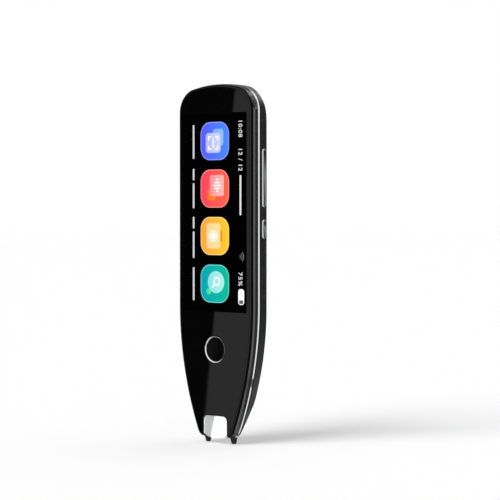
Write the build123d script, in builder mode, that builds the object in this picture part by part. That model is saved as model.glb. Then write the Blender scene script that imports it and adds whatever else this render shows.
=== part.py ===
"""Hand-held scanning pen: a glass-fronted body that tapers to a forked scanning tip.

Millimetres. X is the width (the keys are on +X), the glass faces -Y, +Z is up and the tip
points down. The origin is the centre of the closed body. Depths are measured from the glass
face towards the back.
"""
import os
from math import cos, radians, sin, sqrt, tan

from build123d import *

# Overall size
pen_length = 146.6
pen_width = 40.6
pen_thickness = 13.0
foot_reach = 1.8

# Front outline of the shell
shoulder_radius = 10.4
top_crown = 3.6
taper_length = 54.6
tip_width = 17.35
tip_crown = 0.5
tip_corner_radius = 4.6

# Back of the shell, a barrel turned about an upright axis in front of the pen
crease_depth = 8.69
top_fall_length = 15.8
top_fall_radius = 24.0
top_fall_angle = 22.0
back_fall_start = 53.0
back_fall_radius = 270.0
nose_length = 17.5
nose_radius = 24.0
nose_angle = 19.0
barrel_overrun = 8.0

# Fits shared by the pieces
wall = 1.3
seat_fit = 0.03
slide_fit = 0.12
free_fit = 0.15
cut_overrun = 2.0
spot = 0.2

# Cover glass and its frame
glass_thickness = 0.8
glass_inset = 1.1
glass_edge = 0.12
glass_groove = 0.22
frame_setback = 0.12
frame_front_inset = 0.7
frame_back_inset = 0.4
frame_depth = 3.7
frame_wall = 1.4
floor_thickness = 0.85

# Chrome trim and the shadow line behind it
trim_thickness = 0.7
trim_width = 1.25
trim_slope = 0.42
shadow_line = 0.15
shadow_width = 0.35

# Screen
screen_side = 3.13
screen_below_top = 12.0
screen_above_home = 15.4
screen_margin = 1.1
panel_thickness = 0.8
backlight_thickness = 0.8
cable_width = 11.0
cable_thickness = 0.2
cable_reach = 1.6
cable_lap = 7.0
cable_bend = 0.6
cable_rise = 2.0

# Home button
home_above_feet = 38.4
ring_diameter = 10.9
ring_line = 0.5
ring_stand = 0.08
home_travel = 0.4
home_face_depth = 0.12
home_flange_width = 0.65
home_flange_thickness = 0.5
home_stem_diameter = 3.0
home_stem_length = 0.6
home_switch_size = 4.2
home_switch_height = 0.55
home_board_width = 15.0
home_board_length = 11.0
board_thickness = 0.8

# Forked tip: notch, window and trigger
notch_width = 12.72
notch_height = 11.3
notch_radius = 2.0
window_setback = 0.35
window_thickness = 1.0
leg_depth = 1.9
trigger_arm = 1.34
trigger_travel = 0.8
trigger_bridge = 1.6
trigger_lap = 1.0
fork_radius = 1.2
foot_radius = 0.9
foot_depth = 3.8
foot_blend = 1.0
post_width = 2.4
post_depth = 2.4
post_height = 2.6
spring_wire = 0.3
spring_diameter = 2.1
spring_length = 4.2
foot_root = 1.2
foot_root_depth = 3.2

# Scanning optics
eye_width = 9.6
eye_depth = 3.7
eye_length = 13.4
eye_wall = 0.9
eye_throat = 3.0
ear_thickness = 1.0
ear_width = 3.6
scan_lens_diameter = 3.4
scan_lens_length = 3.0
scan_board_width = 12.0
scan_chip_size = 2.2
scan_chip_height = 0.6
light_width = 8.4
light_depth = 0.7
light_height = 0.6
aperture_width = 7.6
trigger_switch_width = 3.4
trigger_switch_depth = 0.9
trigger_switch_height = 1.5

# Side keys
key_width = 2.1
key_depth = 6.9
key_stand = 0.45
key_edge = 0.25
key_tab = 0.6
rocker_tab_gap = 0.4
key_flange_thickness = 0.55
key_travel = 0.4
rocker_length = 23.6
rocker_below_top = 38.5
rocker_nub_spread = 16.0
rocker_nub_length = 0.55
power_length = 7.7
power_below_top = 59.05
nub_width = 1.4
key_switch_size = 3.0
key_switch_width = 2.0
key_switch_height = 0.9
key_board_thickness = 0.3
key_bracket_thickness = 0.25
key_bracket_foot = 1.6

# Charging socket
port_below_top = 32.3
port_depth = 7.3
port_setback = 0.5
port_length = 8.94
port_height = 3.26
port_sheet = 0.3
port_body = 7.3
port_tongue_length = 6.7
port_tongue_thickness = 0.7
port_tongue_reach = 5.6
port_back = 1.0

# Main board
main_board_above_battery = 3.0
main_board_inset = 2.2
boss_diameter = 3.4
screw_head_diameter = 2.6
screw_head_height = 0.6
screw_shank_diameter = 1.4
screw_length = 2.6
screw_margin = 3.09
screw_row = 32.0
screw_offset = 4.5
shield_side = 3.0
shield_length = 17.0
shield_height = 1.3
rear_shield_height = 1.6
shield_gap = 0.7
antenna_side = 3.0
antenna_width = 3.2
antenna_thickness = 0.5
microphone_length = 3.6
microphone_width = 2.8
microphone_height = 1.0
microphone_hole = 1.0

# Battery
battery_thickness = 5.2
battery_round = 1.6
battery_below_top = 51.5
battery_gap = 1.2
tape_thickness = 0.15
tape_margin = 2.0
scan_cable_width = 3.5

# Camera island on the back
island_width = 9.3
island_length = 15.1
island_below_top = 11.3
island_stand = 0.25
island_depth = 4.0
island_wall = 0.75
island_edge = 0.25
island_window_setback = 0.25
island_window_thickness = 0.7
camera_share = 0.2252
camera_size = 7.0
camera_height = 2.9
camera_barrel_diameter = 4.8
camera_barrel_gap = 0.25
camera_lens_diameter = 4.2
flash_share = 0.2185
flash_diameter = 3.9
flash_thickness = 1.1
flash_stand_size = 3.2
flash_chip_size = 1.6
flash_chip_height = 0.5

# Speaker
speaker_below_island = 3.95
slot_width = 1.15
slot_pitch = 2.4
slot_length = 7.3
side_slot_length = 4.4
mesh_thickness = 0.25
mesh_margin = 1.2
speaker_width = 15.0
speaker_gap = 1.0
speaker_height = 5.1

# Widths and heights worked out from the sizes above
shell_top = pen_length / 2
foot_end = -pen_length / 2
shell_end = foot_end + foot_reach
half_width = pen_width / 2
taper_start = shell_end + taper_length
taper_in = half_width - tip_width / 2
taper_radius = (taper_length**2 + taper_in**2) / (2 * taper_in)
notch_top = foot_end + notch_height
home_z = foot_end + home_above_feet
screen_top = shell_top - screen_below_top
screen_bottom = home_z + screen_above_home
screen_width = pen_width - 2 * screen_side
screen_length = screen_top - screen_bottom
screen_z = (screen_top + screen_bottom) / 2
rocker_z = shell_top - rocker_below_top
power_z = shell_top - power_below_top
port_z = shell_top - port_below_top
island_z = shell_top - island_below_top
island_bottom = island_z - island_length / 2
camera_z = island_z + camera_share * island_length
flash_z = island_z - flash_share * island_length
speaker_z = island_bottom - speaker_below_island
battery_top = shell_top - battery_below_top
battery_bottom = home_z + home_board_length / 2 + battery_gap
battery_length = battery_top - battery_bottom
battery_z = (battery_top + battery_bottom) / 2

# Depths worked out from the sizes above
panel_depth = glass_thickness
backlight_depth = panel_depth + panel_thickness
floor_depth = backlight_depth + backlight_thickness
floor_back = floor_depth + floor_thickness
trim_back = frame_depth + trim_thickness
board_back = port_depth - port_height / 2
board_front = board_back - board_thickness
crown_rise = pen_thickness - crease_depth
back_radius = (half_width**2 + crown_rise**2) / (2 * crown_rise)


def front_plane(depth):
    """Plane parallel to the glass at this depth; its sketches show X to the right, Z up."""
    return Plane.XZ.offset(pen_thickness / 2 - depth)


def side_plane(x):
    """Plane square to X; its sketches show Y to the right and Z up."""
    return Plane.YZ.offset(x)


def level_plane(z):
    """Plane square to Z; its sketches show X to the right and Y up the page."""
    return Plane.XY.offset(z)


def y_of(depth):
    return depth - pen_thickness / 2


def taper_half_width(z):
    """Half width of the shell's outline at a height on its taper."""
    fall = taper_start - z
    return half_width - taper_radius + sqrt(taper_radius**2 - fall**2)


# The outline of the shell, which every layer of the body follows
shoulder_z = shell_top - top_crown
corner_z = shell_end + tip_crown
corner_x = taper_half_width(corner_z)
middle_z = (taper_start + corner_z) / 2
middle_x = taper_half_width(middle_z)
with BuildSketch() as shell_outline:
    with BuildLine():
        ThreePointArc((-half_width, shoulder_z), (0, shell_top), (half_width, shoulder_z))
        Line((half_width, shoulder_z), (half_width, taper_start))
        ThreePointArc((half_width, taper_start), (middle_x, middle_z), (corner_x, corner_z))
        ThreePointArc((corner_x, corner_z), (0, shell_end), (-corner_x, corner_z))
        ThreePointArc((-corner_x, corner_z), (-middle_x, middle_z), (-half_width, taper_start))
        Line((-half_width, taper_start), (-half_width, shoulder_z))
    make_face()
    fillet(shell_outline.vertices().sort_by(Axis.Y)[-2:], radius=shoulder_radius)
    fillet(shell_outline.vertices().sort_by(Axis.Y)[:2], radius=tip_corner_radius)


def outline(inset):
    """The shell's outline, drawn in by a margin."""
    with BuildSketch() as layer:
        add(shell_outline.sketch)
        if inset:
            offset(amount=-inset, mode=Mode.REPLACE)
    return layer.sketch


def notch(margin=0.0):
    """The opening of the fork, widened by a margin and run out past the tip."""
    height = notch_height + cut_overrun + notch_width / 2
    with BuildSketch() as opening:
        with Locations((0, notch_top + margin - height / 2)):
            RectangleRounded(notch_width + 2 * margin, height, notch_radius + margin)
    return opening.sketch


def barrel(recess, rounded=True):
    """Solid bounded at the back by the crowned shell, drawn in by a recess.

    Where it isn't rounded, its profile takes the chords of the arcs.
    """
    crown = y_of(pen_thickness) - recess
    axis_y = y_of(pen_thickness) - back_radius
    top_end = shell_top + barrel_overrun
    top_turn = shell_top - top_fall_length
    top_reach = top_fall_radius - recess
    top_y = crown - top_reach * (1 - cos(radians(top_fall_angle)))
    top_z = top_turn + top_reach * sin(radians(top_fall_angle))
    cap_y = top_y - (top_end - top_z) * tan(radians(top_fall_angle))
    low_turn = shell_end + back_fall_start
    lean = (low_turn - shell_end - nose_length) / back_fall_radius
    upright = sqrt(1 - lean**2)
    fall_reach = back_fall_radius - recess
    nose_y = crown - fall_reach * (1 - upright)
    nose_z = low_turn - fall_reach * lean
    nose_reach = nose_radius - recess
    centre_y = nose_y - nose_reach * upright
    centre_z = nose_z + nose_reach * lean
    ramp_y = centre_y + nose_reach * cos(radians(nose_angle))
    ramp_z = centre_z - nose_reach * sin(radians(nose_angle))
    low_end = shell_end - barrel_overrun
    low_y = ramp_y - (ramp_z - low_end) * tan(radians(nose_angle))
    with BuildPart() as body:
        with BuildSketch(Plane.YZ):
            with BuildLine():
                Line((crown, top_turn), (crown, low_turn))
                if rounded:
                    TangentArc((crown, top_turn), (top_y, top_z), tangent=(0, 1))
                    TangentArc((crown, low_turn), (nose_y, nose_z), tangent=(0, -1))
                    TangentArc((nose_y, nose_z), (ramp_y, ramp_z), tangent=(-lean, -upright))
                else:
                    Line((crown, top_turn), (top_y, top_z))
                    Polyline((crown, low_turn), (nose_y, nose_z), (ramp_y, ramp_z))
                Polyline(
                    (ramp_y, ramp_z),
                    (low_y, low_end),
                    (axis_y, low_end),
                    (axis_y, top_end),
                    (cap_y, top_end),
                    (top_y, top_z),
                )
            make_face()
        revolve(axis=Axis((0, axis_y, 0), (0, 0, 1)))
    return body.part


def trigger_room(side, rise, radius):
    """Front outline of the fork's trigger, widened and raised by a clearance."""
    height = notch_height + cut_overrun + notch_width / 2
    top = notch_top + rise
    width = notch_width + 2 * (trigger_arm + side)
    with BuildSketch() as room:
        with Locations((0, top - height / 2)):
            RectangleRounded(width, height, radius)
    return room.sketch


# Places that several pieces share
panel_width = screen_width + 2 * screen_margin
panel_length = screen_length + 2 * screen_margin
panel_top = screen_z + panel_length / 2
flange_diameter = ring_diameter + 2 * (home_flange_width - ring_line)
flange_depth = glass_thickness + free_fit
flange_back = flange_depth + home_flange_thickness
home_switch_room = home_switch_size + 2 * home_flange_width
bridge_top = notch_top + trigger_bridge
flush_top = notch_top + trigger_lap - fork_radius - trigger_travel - slide_fit
eye_bottom = bridge_top + trigger_travel + free_fit + light_height
eye_top = eye_bottom + eye_length
eye_middle_depth = floor_back + eye_depth / 2
post_top = bridge_top + post_height
post_x = notch_width / 2 + trigger_arm - post_width / 2
ear_bottom = post_top + spring_length
island_back = pen_thickness + island_stand
island_front = island_back - island_depth
window_back = island_back - island_window_setback
window_front = window_back - island_window_thickness
key_inner_x = half_width - wall - rocker_tab_gap - key_flange_thickness
nub_end_x = key_inner_x - rocker_nub_length
key_switch_x = nub_end_x - key_travel - seat_fit
key_board_x = key_switch_x - key_switch_height
key_bracket_x = key_board_x - key_board_thickness - key_bracket_thickness
stack_half_width = key_bracket_x - seat_fit
shield_width = 2 * (half_width - port_setback - port_body - shield_side)
board_low = battery_top + main_board_above_battery
rear_shield_z = board_low + shield_gap + shield_length / 2
front_shield_z = speaker_z - screw_offset
speaker_top = island_bottom - free_fit
speaker_bottom = rear_shield_z + shield_length / 2 + speaker_gap
screw_x = stack_half_width - screw_margin
screw_high = front_shield_z + screw_row / 2
screw_low = front_shield_z - screw_row / 2
screw_places = [(-screw_x, screw_high), (screw_x, screw_low)]
antenna_length = screw_x - camera_size / 2 - antenna_side
antenna_x = antenna_length / 2 - screw_x
antenna_z = screw_high + screw_head_diameter + antenna_width / 2
microphone_x = screw_x - microphone_length

# Cover glass, open at the fork and at the home button
with BuildPart() as cover_glass:
    with BuildSketch(front_plane(0)):
        add(outline(glass_inset))
        add(notch(), mode=Mode.SUBTRACT)
        with Locations((0, home_z)):
            Circle(ring_diameter / 2, mode=Mode.SUBTRACT)
    extrude(amount=-glass_thickness)
    chamfer(cover_glass.faces().sort_by(Axis.Y)[0].outer_wire().edges(), glass_edge)

# Front frame: a sloping bezel round a tray floor that carries the screen and the main board
with BuildPart() as front_frame:
    with BuildSketch(front_plane(frame_setback)):
        add(outline(frame_front_inset))
    with BuildSketch(front_plane(frame_depth)):
        add(outline(frame_back_inset))
    loft(ruled=True)
    with BuildSketch(front_plane(0)):
        add(outline(glass_inset - glass_groove))
    extrude(amount=-glass_thickness, mode=Mode.SUBTRACT)
    with BuildSketch(front_plane(glass_thickness)):
        with Locations((0, screen_z)):
            Rectangle(panel_width + 2 * free_fit, panel_length + 2 * free_fit)
    extrude(amount=-(floor_depth - glass_thickness), mode=Mode.SUBTRACT)
    with BuildSketch(front_plane(floor_back)):
        add(outline(frame_back_inset + frame_wall))
    extrude(amount=-(frame_depth - floor_back), mode=Mode.SUBTRACT)
    with BuildSketch(front_plane(floor_back)):
        with Locations(*screw_places):
            Circle(boss_diameter / 2)
    extrude(amount=-(board_front - floor_back))
    with BuildSketch(front_plane(board_front)):
        with Locations(*screw_places):
            Circle(screw_shank_diameter / 2)
    extrude(amount=screw_length - board_thickness, mode=Mode.SUBTRACT)
    with BuildSketch(front_plane(glass_thickness)):
        with Locations((0, home_z)):
            Circle(flange_diameter / 2 + slide_fit)
    extrude(amount=-(flange_back + home_travel + free_fit - glass_thickness), mode=Mode.SUBTRACT)
    with BuildSketch(front_plane(glass_thickness)):
        with Locations((0, home_z)):
            Rectangle(home_switch_room, home_switch_room)
    extrude(amount=-(floor_back - glass_thickness), mode=Mode.SUBTRACT)
    with BuildSketch(front_plane(floor_depth)):
        with Locations((0, panel_top + cable_reach - cable_thickness / 2)):
            Rectangle(cable_width + 2 * free_fit, 2 * (cable_reach + free_fit))
    extrude(amount=-floor_thickness, mode=Mode.SUBTRACT)
    with BuildSketch(front_plane(backlight_depth)):
        with Locations((0, panel_top + cable_reach / 2)):
            Rectangle(cable_width + 2 * free_fit, cable_reach + 2 * free_fit)
    extrude(amount=-backlight_thickness, mode=Mode.SUBTRACT)
    with BuildSketch(front_plane(0)):
        add(notch())
    extrude(amount=-trim_back, mode=Mode.SUBTRACT)
    with BuildSketch(front_plane(leg_depth)):
        add(trigger_room(slide_fit, trigger_bridge + trigger_travel + free_fit, fork_radius))
    extrude(amount=-trim_back, mode=Mode.SUBTRACT)

# Chrome trim, a bright ring with a sloping face that is open at the fork
with BuildPart() as chrome_trim:
    with BuildSketch(front_plane(frame_depth)):
        add(outline(0))
        add(outline(trim_width), mode=Mode.SUBTRACT)
    extrude(amount=-trim_thickness)
    chamfer(chrome_trim.faces().sort_by(Axis.Y)[0].outer_wire().edges(), trim_slope)
    with BuildSketch(front_plane(frame_depth)):
        add(trigger_room(slide_fit, trigger_bridge, fork_radius))
    extrude(amount=-trim_thickness, mode=Mode.SUBTRACT)

# Room inside the rear housing
with BuildPart() as shell_cavity:
    with BuildSketch(front_plane(trim_back)):
        add(outline(wall))
    extrude(amount=-pen_thickness)
    add(barrel(wall, rounded=False), mode=Mode.INTERSECT)

# Rear housing: an upright side wall that meets a barrel-shaped back at a crisp crease
with BuildPart() as rear_housing:
    with BuildSketch(front_plane(trim_back)):
        add(outline(0))
    extrude(amount=-pen_thickness)
    add(barrel(0), mode=Mode.INTERSECT)
    add(shell_cavity.part, mode=Mode.SUBTRACT)
    with BuildSketch(front_plane(trim_back)):
        add(outline(0))
        add(outline(shadow_width), mode=Mode.SUBTRACT)
    extrude(amount=-shadow_line, mode=Mode.SUBTRACT)
    with BuildSketch(front_plane(trim_back)):
        add(trigger_room(slide_fit, trigger_lap, fork_radius))
    extrude(amount=-pen_thickness, mode=Mode.SUBTRACT)
    with BuildSketch(front_plane(island_front)):
        with Locations((0, island_z)):
            SlotOverall(island_length + 2 * seat_fit, island_width + 2 * seat_fit, rotation=90)
    extrude(amount=-island_depth, mode=Mode.SUBTRACT)
    with BuildSketch(front_plane(island_front)):
        with Locations((0, speaker_z)):
            SlotOverall(slot_length, slot_width, rotation=90)
        with Locations((-slot_pitch, speaker_z), (slot_pitch, speaker_z)):
            SlotOverall(side_slot_length, slot_width, rotation=90)
    extrude(amount=-island_depth, mode=Mode.SUBTRACT)
    with BuildSketch(side_plane(half_width + cut_overrun)):
        with Locations((y_of(key_depth), rocker_z)):
            SlotOverall(rocker_length + 2 * slide_fit, key_width + 2 * slide_fit, rotation=90)
        with Locations((y_of(key_depth), power_z)):
            SlotOverall(power_length + 2 * slide_fit, key_width + 2 * slide_fit, rotation=90)
    extrude(amount=key_inner_x - half_width - cut_overrun, mode=Mode.SUBTRACT)
    with BuildSketch(side_plane(-half_width - cut_overrun)):
        with Locations((y_of(port_depth), port_z)):
            SlotOverall(port_length + 2 * seat_fit, port_height + 2 * seat_fit, rotation=90)
    extrude(amount=port_setback + port_body + cut_overrun, mode=Mode.SUBTRACT)
    with BuildSketch(level_plane(shell_top)):
        with Locations((microphone_x, y_of(board_back + microphone_height / 2))):
            Circle(microphone_hole / 2)
    extrude(amount=-(top_crown + wall), mode=Mode.SUBTRACT)

# Scan window, the clear pane between the legs of the fork
with BuildPart() as scan_window:
    with BuildSketch(front_plane(window_setback)):
        add(notch(-seat_fit))
        add(outline(frame_front_inset), mode=Mode.INTERSECT)
    extrude(amount=-window_thickness)

# Band where the trigger passes under the back of the housing
with BuildPart() as trigger_relief:
    with BuildSketch(level_plane(flush_top)):
        with Locations((0, y_of(pen_thickness))):
            Rectangle(2 * pen_width, 2 * pen_thickness)
    extrude(amount=pen_thickness)
    add(barrel(wall + free_fit, rounded=False), mode=Mode.SUBTRACT)

# Scan trigger: an arch that lines the fork, with two round feet and two spring posts
with BuildPart() as scan_trigger:
    with BuildSketch(front_plane(leg_depth + slide_fit)):
        add(trigger_room(0, trigger_bridge, notch_radius))
        add(outline(spot), mode=Mode.INTERSECT)
        add(notch(), mode=Mode.SUBTRACT)
    extrude(amount=-pen_thickness)
    add(barrel(spot), mode=Mode.INTERSECT)
    add(trigger_relief.part, mode=Mode.SUBTRACT)
    for side in (-1, 1):
        with BuildSketch(side_plane(side * notch_width / 2)):
            with Locations((y_of(foot_depth), foot_end + foot_radius)):
                Circle(foot_radius)
            with Locations((y_of(leg_depth + slide_fit), shell_end + foot_root)):
                Rectangle(foot_root_depth, foot_blend, align=(Align.MIN, Align.MIN))
            make_hull()
        extrude(amount=side * trigger_arm)
    with BuildSketch(level_plane(bridge_top)):
        with Locations((-post_x, y_of(eye_middle_depth)), (post_x, y_of(eye_middle_depth))):
            Rectangle(post_width, post_depth)
    extrude(amount=post_height)
    with BuildSketch(level_plane(bridge_top)):
        with Locations((0, y_of(eye_middle_depth))):
            Rectangle(aperture_width, eye_depth - 2 * eye_wall)
    extrude(amount=-trigger_bridge, mode=Mode.SUBTRACT)

# Scanning eye: a light-tight block with a stepped bore and two spring ears
with BuildPart() as scan_eye:
    with BuildSketch(level_plane(eye_bottom)):
        with Locations((0, y_of(eye_middle_depth))):
            Rectangle(eye_width, eye_depth)
    extrude(amount=eye_length)
    with BuildSketch(level_plane(eye_bottom)):
        with Locations((0, y_of(eye_middle_depth))):
            Rectangle(eye_width - 2 * eye_wall, eye_depth - 2 * eye_wall)
    extrude(amount=eye_throat, mode=Mode.SUBTRACT)
    with BuildSketch(level_plane(eye_top)):
        with Locations((0, y_of(eye_middle_depth))):
            Circle(scan_lens_diameter / 2)
    extrude(amount=eye_throat - eye_length, mode=Mode.SUBTRACT)
    with BuildSketch(level_plane(ear_bottom)):
        with Locations((0, y_of(eye_middle_depth))):
            Rectangle(eye_width + 2 * ear_width, eye_depth)
            Rectangle(eye_width, eye_depth, mode=Mode.SUBTRACT)
    extrude(amount=ear_thickness)

with BuildPart() as scan_lens:
    with BuildSketch(level_plane(eye_bottom + eye_throat)):
        with Locations((0, y_of(eye_middle_depth))):
            Circle(scan_lens_diameter / 2 - seat_fit)
    extrude(amount=scan_lens_length)

# Sensor board on top of the eye, its chip looking down the bore
with BuildPart() as scan_board:
    with BuildSketch(level_plane(eye_top)):
        with Locations((0, y_of(eye_middle_depth))):
            Rectangle(scan_board_width, eye_depth)
    extrude(amount=board_thickness)
    with BuildSketch(level_plane(eye_top)):
        with Locations((0, y_of(eye_middle_depth))):
            Rectangle(scan_chip_size, scan_chip_size)
    extrude(amount=-scan_chip_height)

# Two light bars beside the bore, shining down through the fork
with BuildPart() as scan_lights:
    with BuildSketch(level_plane(eye_bottom)):
        with Locations(
            (0, y_of(floor_back + eye_wall / 2)),
            (0, y_of(floor_back + eye_depth - eye_wall / 2)),
        ):
            Rectangle(light_width, light_depth)
    extrude(amount=-light_height)

# Springs that push the trigger out, between its posts and the eye's ears
with BuildPart() as trigger_springs:
    for side in (-1, 1):
        centre = (side * post_x, y_of(eye_middle_depth))
        with BuildSketch(level_plane(post_top)):
            with Locations(centre):
                Circle(spring_diameter / 2)
                Circle(spring_diameter / 2 - spring_wire, mode=Mode.SUBTRACT)
        extrude(amount=spring_length)

# Switch above the trigger's bridge, on the back of the eye
with BuildPart() as trigger_switch:
    with BuildSketch(front_plane(floor_back + eye_depth)):
        with Locations((0, bridge_top + trigger_travel + free_fit + trigger_switch_height / 2)):
            Rectangle(trigger_switch_width, trigger_switch_height)
    extrude(amount=-trigger_switch_depth)

# Screen: the panel behind the glass, its backlight and the cable that passes the floor
with BuildPart() as display_panel:
    with BuildSketch(front_plane(panel_depth)):
        with Locations((0, screen_z)):
            Rectangle(panel_width, panel_length)
    extrude(amount=-panel_thickness)

with BuildPart() as display_backlight:
    with BuildSketch(front_plane(backlight_depth)):
        with Locations((0, screen_z)):
            Rectangle(panel_width, panel_length)
    extrude(amount=-backlight_thickness)

with BuildPart() as display_cable:
    with BuildSketch(side_plane(-cable_width / 2)):
        with BuildLine():
            FilletPolyline(
                (y_of(backlight_depth + backlight_thickness / 2), panel_top),
                (y_of(backlight_depth + backlight_thickness / 2), panel_top + cable_reach),
                (y_of(board_front - cable_thickness), panel_top + cable_reach),
                (y_of(board_front - cable_thickness), panel_top + cable_reach - cable_lap),
                radius=cable_bend,
            )
            offset(amount=cable_thickness, side=Side.RIGHT)
        make_face()
    extrude(amount=cable_width)

# Home button: a cap with a flange and a stem, inside a bright ring
with BuildPart() as home_button_ring:
    with BuildSketch(front_plane(-ring_stand)):
        with Locations((0, home_z)):
            Circle(ring_diameter / 2 - seat_fit)
            Circle(ring_diameter / 2 - ring_line, mode=Mode.SUBTRACT)
    extrude(amount=-(glass_thickness + ring_stand))

cap_radius = ring_diameter / 2 - ring_line - slide_fit
with BuildPart() as home_button:
    with BuildSketch(front_plane(home_face_depth)):
        with Locations((0, home_z)):
            Circle(cap_radius)
    extrude(amount=-(flange_depth - home_face_depth))
    with BuildSketch(front_plane(flange_depth)):
        with Locations((0, home_z)):
            Circle(flange_diameter / 2)
    extrude(amount=-home_flange_thickness)
    with BuildSketch(front_plane(flange_back)):
        with Locations((0, home_z)):
            Circle(home_stem_diameter / 2)
    extrude(amount=-home_stem_length)

with BuildPart() as home_board:
    with BuildSketch(front_plane(floor_back)):
        with Locations((0, home_z)):
            Rectangle(home_board_width, home_board_length)
    extrude(amount=-board_thickness)

with BuildPart() as home_switch:
    with BuildSketch(front_plane(floor_back)):
        with Locations((0, home_z)):
            Rectangle(home_switch_size, home_switch_size)
    extrude(amount=home_switch_height)

# Side keys: each has a bevelled cap in its slot, end tabs behind the wall and nubs
with BuildPart() as volume_rocker:
    with BuildSketch(side_plane(key_inner_x)):
        with Locations((y_of(key_depth), rocker_z)):
            SlotOverall(rocker_length, key_width, rotation=90)
    extrude(amount=half_width + key_stand - key_inner_x)
    chamfer(volume_rocker.faces().sort_by(Axis.X)[-1].edges(), key_edge)
    with BuildSketch(side_plane(key_inner_x)):
        with Locations((y_of(key_depth), rocker_z)):
            Rectangle(key_width, rocker_length + 2 * key_tab)
    extrude(amount=key_flange_thickness)
    with BuildSketch(side_plane(key_inner_x)):
        with Locations(
            (y_of(key_depth), rocker_z - rocker_nub_spread / 2),
            (y_of(key_depth), rocker_z + rocker_nub_spread / 2),
        ):
            Rectangle(nub_width, nub_width)
    extrude(amount=-rocker_nub_length)

with BuildPart() as power_button:
    with BuildSketch(side_plane(key_inner_x)):
        with Locations((y_of(key_depth), power_z)):
            SlotOverall(power_length, key_width, rotation=90)
    extrude(amount=half_width + key_stand - key_inner_x)
    chamfer(power_button.faces().sort_by(Axis.X)[-1].edges(), key_edge)
    with BuildSketch(side_plane(key_inner_x)):
        with Locations((y_of(key_depth), power_z)):
            Rectangle(key_width, power_length + 2 * key_tab)
    extrude(amount=key_flange_thickness)
    with BuildSketch(side_plane(key_inner_x)):
        with Locations((y_of(key_depth), power_z)):
            Rectangle(nub_width, nub_width)
    extrude(amount=-rocker_nub_length)

# Switches for the keys on a strip board, held up by a bracket on the frame's floor
key_board_top = rocker_z + rocker_length / 2
key_board_low = power_z - power_length / 2
key_board_length = key_board_top - key_board_low
key_board_z = (key_board_top + key_board_low) / 2
with BuildPart() as side_key_switches:
    with BuildSketch(side_plane(key_board_x)):
        with Locations(
            (y_of(key_depth), rocker_z - rocker_nub_spread / 2),
            (y_of(key_depth), rocker_z + rocker_nub_spread / 2),
            (y_of(key_depth), power_z),
        ):
            Rectangle(key_switch_width, key_switch_size)
    extrude(amount=key_switch_height)

with BuildPart() as side_key_board:
    with BuildSketch(side_plane(key_board_x)):
        with Locations((y_of(key_depth), key_board_z)):
            Rectangle(key_switch_width, key_board_length)
    extrude(amount=-key_board_thickness)

with BuildPart() as key_bracket:
    with BuildSketch(side_plane(key_bracket_x)):
        with Locations((y_of(floor_back), key_board_z)):
            Rectangle(
                key_depth + key_switch_width / 2 - floor_back,
                key_board_length,
                align=(Align.MIN, Align.CENTER),
            )
    extrude(amount=key_bracket_thickness)
    with BuildSketch(front_plane(floor_back)):
        with Locations((key_bracket_x, key_board_z)):
            Rectangle(key_bracket_foot, key_board_length, align=(Align.MIN, Align.CENTER))
    extrude(amount=-key_bracket_thickness)

# Charging socket: an obround shell, closed at the back, with a tongue inside
port_mouth = -half_width + port_setback
with BuildPart() as usb_c_shell:
    with BuildSketch(side_plane(port_mouth)):
        with Locations((y_of(port_depth), port_z)):
            SlotOverall(port_length, port_height, rotation=90)
    extrude(amount=port_body)
    with BuildSketch(side_plane(port_mouth)):
        with Locations((y_of(port_depth), port_z)):
            SlotOverall(port_length - 2 * port_sheet, port_height - 2 * port_sheet, rotation=90)
    extrude(amount=port_body - port_back, mode=Mode.SUBTRACT)

with BuildPart() as usb_c_tongue:
    with BuildSketch(side_plane(port_mouth + port_body - port_back)):
        with Locations((y_of(port_depth), port_z)):
            Rectangle(port_tongue_thickness, port_tongue_length)
    extrude(amount=-port_tongue_reach)

# Main board, screwed to the frame's bosses, and what is soldered to it
with BuildPart() as main_board:
    with BuildSketch(front_plane(board_front)):
        add(outline(main_board_inset))
        with Locations((0, board_low)):
            Rectangle(
                2 * stack_half_width,
                pen_length,
                align=(Align.CENTER, Align.MIN),
                mode=Mode.INTERSECT,
            )
        with Locations(*screw_places):
            Circle(screw_shank_diameter / 2, mode=Mode.SUBTRACT)
    extrude(amount=-board_thickness)

with BuildPart() as board_screws:
    with BuildSketch(front_plane(board_back)):
        with Locations(*screw_places):
            Circle(screw_shank_diameter / 2 - seat_fit)
    extrude(amount=screw_length)
    with BuildSketch(front_plane(board_back)):
        with Locations(*screw_places):
            Circle(screw_head_diameter / 2)
    extrude(amount=-screw_head_height)

with BuildPart() as front_shield:
    with BuildSketch(front_plane(board_front)):
        with Locations((0, front_shield_z)):
            Rectangle(shield_width, shield_length)
    extrude(amount=shield_height)

with BuildPart() as rear_shield:
    with BuildSketch(front_plane(board_back)):
        with Locations((0, rear_shield_z)):
            Rectangle(shield_width, shield_length)
    extrude(amount=-rear_shield_height)

with BuildPart() as antenna:
    with BuildSketch(front_plane(board_back)):
        with Locations((antenna_x, antenna_z)):
            Rectangle(antenna_length, antenna_width)
    extrude(amount=-antenna_thickness)

with BuildPart() as microphone:
    with BuildSketch(front_plane(board_back)):
        with Locations((microphone_x, antenna_z)):
            Rectangle(microphone_length, microphone_width)
    extrude(amount=-microphone_height)

# Battery and the tape that holds it
with BuildPart() as battery_tape:
    with BuildSketch(front_plane(floor_back)):
        with Locations((0, battery_z)):
            Rectangle(2 * stack_half_width - 2 * tape_margin, battery_length - 2 * tape_margin)
    extrude(amount=-tape_thickness)

with BuildPart() as battery:
    with BuildSketch(level_plane(battery_z - battery_length / 2)):
        with Locations((0, y_of(floor_back + tape_thickness + battery_thickness / 2))):
            RectangleRounded(2 * stack_half_width, battery_thickness, battery_round)
    extrude(amount=battery_length)

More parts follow.
